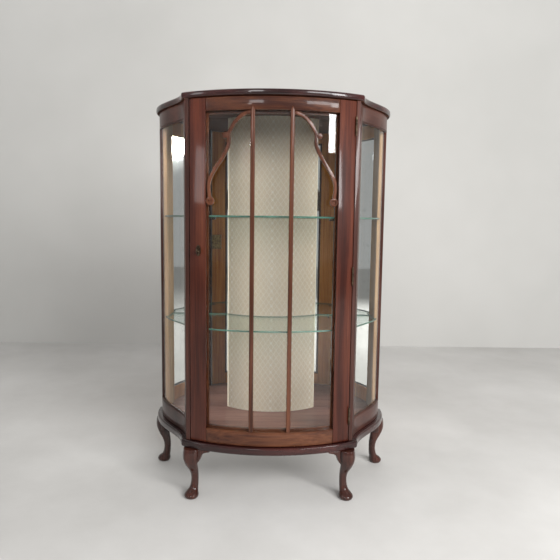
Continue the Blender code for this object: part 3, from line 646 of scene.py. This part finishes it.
def add_bar(name, side):
    """Glazing bar with a pointed head that laps the top rail."""
    steps = 40
    middle, half = side * BAR_CENTRE, BAR_WIDTH / 2
    foot, shoulder = OPENING_LOW + GAP, OPENING_HIGH + 0.45 * BAR_TIP
    rise = [foot + (OPENING_HIGH - foot) * i / steps for i in range(steps + 1)]
    outline = [(middle - half, z) for z in rise[::-1]] + [(middle + half, z) for z in rise]
    outline.append((middle + 0.55 * half, shoulder))
    outline.append((middle, OPENING_HIGH + BAR_TIP))
    outline.append((middle - 0.55 * half, shoulder))
    bar = bowed_plate(outline, -BAR_PROUD, BAR_BACK)
    soften(bar, 0.0024, 3, 60)
    refine(f"bar_{name}", bar, [bar_wood], "door")


# the fret's middle line, out from the bar and down from the opening's top
FRET_LINE = (
    (0.0, 0.0055), (0.015, 0.010), (0.030, 0.019), (0.044, 0.033), (0.0545, 0.050), (0.0610, 0.064),
    (0.0605, 0.078), (0.0610, 0.092), (0.068, 0.110), (0.080, 0.131), (0.096, 0.154), (0.1095, 0.176),
    (0.1175, 0.197), (0.1185, 0.216), (0.1160, 0.236), (0.1155, 0.247),
)
FRET_SPAN = 0.12775  # the opening beside a bar that this line was drawn for
FRET_DISCS = {"boss": (0.0705, 0.0675, 0.0090), "end": (0.1155, 0.2500, 0.0125)}  # out, down, radius


def add_fret(name, side):
    """Scrolled fret beside a bar, with a boss along it and a dimpled round end."""
    scale = (OPENING_HALF - BAR_SIDE) / FRET_SPAN
    limits = sorted((side * (BAR_SIDE - 0.002), side * (RAIL_HALF + 0.0002)))
    line = [
        Vector((side * (BAR_SIDE + GAP + out * scale), OPENING_HIGH - down)) for out, down in FRET_LINE
    ]
    fret = bowed_plate(ribbon(smooth_path(line, 8), FRET_WIDTH, *limits), -BAR_PROUD / 2, BAR_BACK)
    soften(fret, 0.0022, 3, 60)
    refine(f"fret_{name}", fret, [bar_wood], "door")
    for part, (out, down, radius) in FRET_DISCS.items():
        add_fret_disc(part, name, side * (BAR_SIDE + out * scale), OPENING_HIGH - down, radius, limits)


def add_fret_disc(part, name, x, z, radius, limits):
    """Round boss or end of a fret, trimmed to the opening; the end has a dimple."""
    turns = [math.tau * i / 40 for i in range(40)]
    rim = [(x + radius * math.cos(a), z + radius * math.sin(a)) for a in turns]
    rim = [(min(max(u, limits[0]), limits[1]), w) for u, w in rim]
    disc = bowed_plate(rim, -BAR_PROUD * 0.75, BAR_BACK - GAP)
    soften(disc, 0.0026, 3, 60)
    if part == "end":
        disc.normal_update()
        front = [max((f for f in disc.faces if f.normal.y < 0), key=lambda f: f.calc_area())]
        bmesh.ops.inset_region(disc, faces=front, thickness=0.0028)
        bmesh.ops.inset_region(disc, faces=front, thickness=0.0012, depth=-0.0036)
    add_piece(f"fret_{part}_{name}", disc, [bar_wood], "door")


def key_place():
    """Middle of the key's shank, on the face of the door."""
    low, high = (Vector(corner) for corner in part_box("key"))
    x = (low.x + high.x) / 2
    return Vector((x, bow_y(x), (low.z + high.z) / 2))


def add_key():
    """Round shank with two collars, and an oval bow seen edge-on."""
    place = key_place()
    start, end = place.y - KEY_REACH + KEY_BOW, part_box("key")[1][1]
    shank = bmesh.new()
    add_rod(shank, (place.x, (start + end) / 2, place.z), 0.0022, end - start)
    add_rod(shank, (place.x, start + 0.0015, place.z), 0.0038, 0.0022)
    add_rod(shank, (place.x, start + 0.0050, place.z), 0.0031, 0.0014)
    soften(shank, 0.0005)

    bow = bmesh.new()
    wire = Matrix.Translation((KEY_BOW, 0, 0)) @ LIE_ALONG_Y
    bmesh.ops.create_circle(bow, segments=16, radius=0.0022, matrix=wire)
    bmesh.ops.spin(
        bow, geom=bow.verts[:] + bow.edges[:], cent=(0, 0, 0), axis=(0, 0, 1), angle=math.tau,
        steps=48, use_merge=True,
    )
    bmesh.ops.scale(bow, vec=(0.85, 1.25, 0.8), verts=bow.verts)
    stand = Matrix.Translation((place.x, place.y - KEY_REACH, place.z)) @ Matrix.Rotation(math.pi / 2, 4, "Y")
    bmesh.ops.transform(bow, verts=bow.verts, matrix=stand)
    add_piece("key_ring", bow, [bronze], "key")
    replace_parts(add_piece("key_shank", shank, [bronze], "key"), "key")


def add_escutcheon():
    """Thin oval plate round the keyhole, square to the bow."""
    place = key_place()
    made = bmesh.new()
    add_rod(made, (0, -0.0010, 0), 0.5, 0.0014, 48)
    bmesh.ops.scale(made, vec=(0.016, 1, 0.032), verts=made.verts)
    soften(made, 0.0005)
    lean = Matrix.Rotation(math.asin(place.x / BOW_RADIUS), 4, "Z")
    bmesh.ops.transform(made, verts=made.verts, matrix=Matrix.Translation(place) @ lean)
    refine("escutcheon", made, [bronze], "door")


# ---- legs and ears --------------------------------------------------------
# share of the height, swing outward and share of the foot's radius, from the pad foot up
LEG_FORM = (
    (0.0, 0.0080, 0.84), (0.03, 0.0085, 1.01), (0.07, 0.0078, 1.05), (0.12, 0.0045, 0.88),
    (0.17, -0.0015, 0.683), (0.24, -0.0055, 0.595), (0.34, -0.0075, 0.561), (0.45, -0.0065, 0.605),
    (0.55, -0.0015, 0.732), (0.64, 0.0055, 0.898), (0.74, 0.0110, 1.073), (0.83, 0.0130, 1.185),
    (0.92, 0.0115, 1.229), (1.0, 0.0085, 1.21),
)
LEG_SEGMENTS = 40
# the ear's scrolled edge, as shares of its reach and its drop
EAR_SCROLL = (
    (0.88, 0.13), (0.74, 0.19), (0.62, 0.30), (0.55, 0.44), (0.50, 0.62), (0.43, 0.80), (0.36, 0.94),
)
FRONT_FOOT = (POST_OUTER - 0.017, bow_y(POST_OUTER) - 0.0105)
REAR_FOOT = (SIDE_END - 0.006, BACK - 0.042)
# each right-hand leg's foot, the way it swings and the way each of its ears runs
LEGS = {
    "front": (FRONT_FOOT, (0.55, -0.83), {"front": (-1.0, -0.34), "side": (0.42, 1.0)}),
    "rear": (REAR_FOOT, (0.75, 0.45), {"side": (-0.10, -1.0)}),
}


def in_turn(verts, centre):
    """Corners of a ring in their order round its centre."""
    return sorted(verts, key=lambda v: math.atan2(v.co.y - centre.y, v.co.x - centre.x) % math.tau)


def shape_leg_ring(ring, row, foot, outward):
    """Sets one ring of the leg, rounder low down and squarer at the knee."""
    middle = Vector((*foot, row.x * LEG_HEIGHT)) + (row.y - LEG_FORM[0][1]) * outward
    radius = row.z * FOOT_RADIUS
    corner = max(0.0, min(1.0, (row.x - 0.25) / 0.5)) * 0.07
    facing = math.atan2(outward.y, outward.x)
    for i, vert in enumerate(ring):
        turn = math.tau * i / LEG_SEGMENTS
        grown = radius * (1 + corner * math.cos(4 * (turn - facing)) - 0.4 * corner)
        vert.co = middle + Vector((grown * math.cos(turn), grown * math.sin(turn), 0))


def add_leg(node, foot, outward):
    """Cabriole leg drawn up from its pad foot, ring by ring."""
    outward = Vector((*outward, 0)).normalized()
    form = smooth_path([Vector(row) for row in LEG_FORM], 4)
    made = bmesh.new()
    ring = bmesh.ops.create_circle(made, cap_ends=True, segments=LEG_SEGMENTS, radius=1.0)["verts"]
    face = ring[0].link_faces[0]
    shape_leg_ring(in_turn(ring, Vector((0, 0, 0))), form[0], foot, outward)
    for row in form[1:]:
        grown = bmesh.ops.extrude_face_region(made, geom=[face])["geom"]
        face = next(part for part in grown if isinstance(part, bmesh.types.BMFace))
        shape_leg_ring(in_turn(face.verts, face.calc_center_median()), row, foot, outward)
    made.normal_update()
    soften(made, 0.0016, 2, 60)
    refine(node, made, [leg_wood], "case", 60)


def add_ear(node, foot, along):
    """Scroll-cut bracket between a leg's knee and the base board."""
    outline = [(EAR_KNEE, 0), (EAR_REACH, 0), (EAR_REACH, -0.004)]
    scroll = smooth_path([Vector((EAR_REACH * out, -EAR_DROP * down)) for out, down in EAR_SCROLL], 4)
    outline += [tuple(spot) for spot in scroll] + [(EAR_KNEE, -EAR_DROP)]
    corners = [(u, -EAR_THICK / 2, LEG_HEIGHT + w) for u, w in outline]
    made = plate(corners, lambda spot: spot + Vector((0, EAR_THICK, 0)))
    soften(made, 0.0022, 3)
    turn = Matrix.Rotation(math.atan2(along[1], along[0]), 4, "Z")
    bmesh.ops.transform(made, matrix=Matrix.Translation((*foot, 0)) @ turn, verts=made.verts)
    refine(node, made, [leg_wood], "case")


def add_stand(name, side):
    """Legs and ears of one side."""
    for leg, ((x, y), outward, ears) in LEGS.items():
        foot = (side * x, y)
        add_leg(f"leg_{leg}_{name}", foot, (side * outward[0], outward[1]))
        for ear, along in ears.items():
            add_ear(f"ear_{leg}_{ear}_{name}", foot, (side * along[0], along[1]))


# ---- solids that keep their shape -----------------------------------------
SLOT_FINISH = {"inner_wood": inner_wood, "mirror": mirror_finish, "brass": brass, "steel": steel}
NODE_FINISH = {"floor_panel": floor_wood, "glazing_bead": rail_wood, "front_post_left": shaded_post_wood}


def finish_kept_solids():
    """Better materials for the solids that are shown as they are."""
    for node, solid in frame["nodes"].items():
        finish = NODE_FINISH.get(node, SLOT_FINISH.get(slot_of[node]))
        if node.startswith("peg_") or node.endswith("_leaf"):
            finish = bronze
        if finish:
            for spot in solid.material_slots:
                spot.material = finish


# ---- room, light and camera -----------------------------------------------
def stage_plane(name, middle, turn, finish, size=16):
    """Large square of floor or wall."""
    made = bmesh.new()
    place = Matrix.Translation(middle) @ Matrix.Rotation(turn, 4, "X")
    bmesh.ops.create_grid(made, x_segments=1, y_segments=1, size=size / 2, matrix=place)
    mesh = bpy.data.meshes.new(name)
    made.to_mesh(mesh)
    made.free()
    mesh.materials.append(finish)
    plane = bpy.data.objects.new(name, mesh)
    bpy.context.collection.objects.link(plane)


def add_room():
    """Pale floor and wall, and a soft even light from all round."""
    floor = clouded("pale_floor", 1.6, 6.0, 0.6, (0.44, 0.428, 0.41), (0.56, 0.548, 0.53), 0.55)
    wall = clouded("pale_wall", 0.9, 4.0, 0.55, (0.45, 0.444, 0.424), (0.51, 0.503, 0.483), 0.9)
    stage_plane("floor", (0, 0, 0), 0, floor)
    stage_plane("wall", (0, 1.98, 3), math.pi / 2, wall)
    world = bpy.data.worlds.new("room")
    world.use_nodes = True
    air = world.node_tree.nodes["Background"]
    air.inputs["Color"].default_value = (0.93, 0.94, 0.95, 1)
    air.inputs["Strength"].default_value = 0.40
    bpy.context.scene.world = world


def lamp(name, place, aim, size, radiance, spread=180, glare=True):
    """Soft rectangular light; its strength is given as the brightness of its face."""
    light = bpy.data.lights.new(name, "AREA")
    light.shape = "RECTANGLE"
    light.size, light.size_y = size
    light.energy = radiance * math.pi * size[0] * size[1]
    light.spread = math.radians(spread)
    holder = bpy.data.objects.new(name, light)
    holder.visible_glossy = glare
    holder.location = place
    holder.rotation_euler = (Vector(aim) - Vector(place)).to_track_quat("-Z", "Y").to_euler()
    bpy.context.collection.objects.link(holder)


def window(name, bearing, low, high, width, radiance, reach=3.6):
    """Upright window light, placed by its bearing to the right of straight out from the door."""
    turn, middle = math.radians(bearing), (low + high) / 2
    place = (reach * math.sin(turn), FRONT_LINE - reach * math.cos(turn), middle)
    lamp(name, place, (0, 0, middle), (width, high - low), radiance)


def add_lights():
    """Windows that show on the glass, a large fill that doesn't, and a dim ceiling."""
    window("window_right", 46, 1.46, 2.40, 0.62, 20)
    window("window_front_right", 32, 1.86, 2.60, 1.05, 11)
    window("window_front_left", -12, 1.86, 2.60, 0.62, 10)
    window("window_left", -54, 1.50, 2.40, 0.50, 5)
    lamp("small_window", (-0.842, -2.72, 1.495), (-0.33, BACK, 1.15), (0.145, 0.19), 6, spread=12)
    lamp("room_fill", (1.5, -3.0, 1.9), (0, 0, 0.6), (2.6, 1.8), 14.0, glare=False)
    lamp("ceiling", (0, 0.9, 3.6), (0, 0.9, 0), (5.0, 2.4), 0.8)


CAMERA_PLACE = (0.0131, FRONT_LINE - 1.6165, 0.8373)
LENS_LENGTH = 35.629  # millimetres, behind a sensor 36 mm wide
PITCH, YAW, ROLL = math.radians(5.9945), math.radians(0.4597), math.radians(0.723)


def add_camera():
    """Camera that looks slightly down, turned and rolled by small angles."""
    ahead = Vector((math.sin(YAW) * math.cos(PITCH), math.cos(YAW) * math.cos(PITCH), -math.sin(PITCH)))
    level = Vector((math.cos(YAW), -math.sin(YAW), 0))
    rise = level.cross(ahead)
    right = math.cos(ROLL) * level + math.sin(ROLL) * rise
    up = math.cos(ROLL) * rise - math.sin(ROLL) * level
    lens = bpy.data.cameras.new("camera")
    lens.sensor_width = 36
    lens.lens = LENS_LENGTH
    camera = bpy.data.objects.new("camera", lens)
    turned = Matrix((right, up, -ahead)).transposed().to_4x4()
    camera.matrix_world = Matrix.Translation(CAMERA_PLACE) @ turned
    bpy.context.collection.objects.link(camera)
    bpy.context.scene.camera = camera


# ---- the cabinet ----------------------------------------------------------
add_boards()
for side_name, side_sign in SIDES:
    add_posts(side_name, side_sign)
    add_side_frame(side_name, side_sign)
for side_name, side_sign in SIDES:
    add_side_beads(side_name, side_sign)
add_column()
for shelf_name in ("lower", "upper"):
    add_shelf(shelf_name)
add_door_frame()
for side_name, side_sign in SIDES:
    add_bar(side_name, side_sign)
    add_fret(side_name, side_sign)
add_key()
add_escutcheon()
for side_name, side_sign in SIDES:
    add_stand(side_name, side_sign)
finish_kept_solids()

# ---- its room -------------------------------------------------------------
add_room()
add_lights()
add_camera()
scene = bpy.context.scene
scene.view_settings.view_transform = "Standard"
scene.view_settings.look = "None"
scene.view_settings.exposure = 0.0
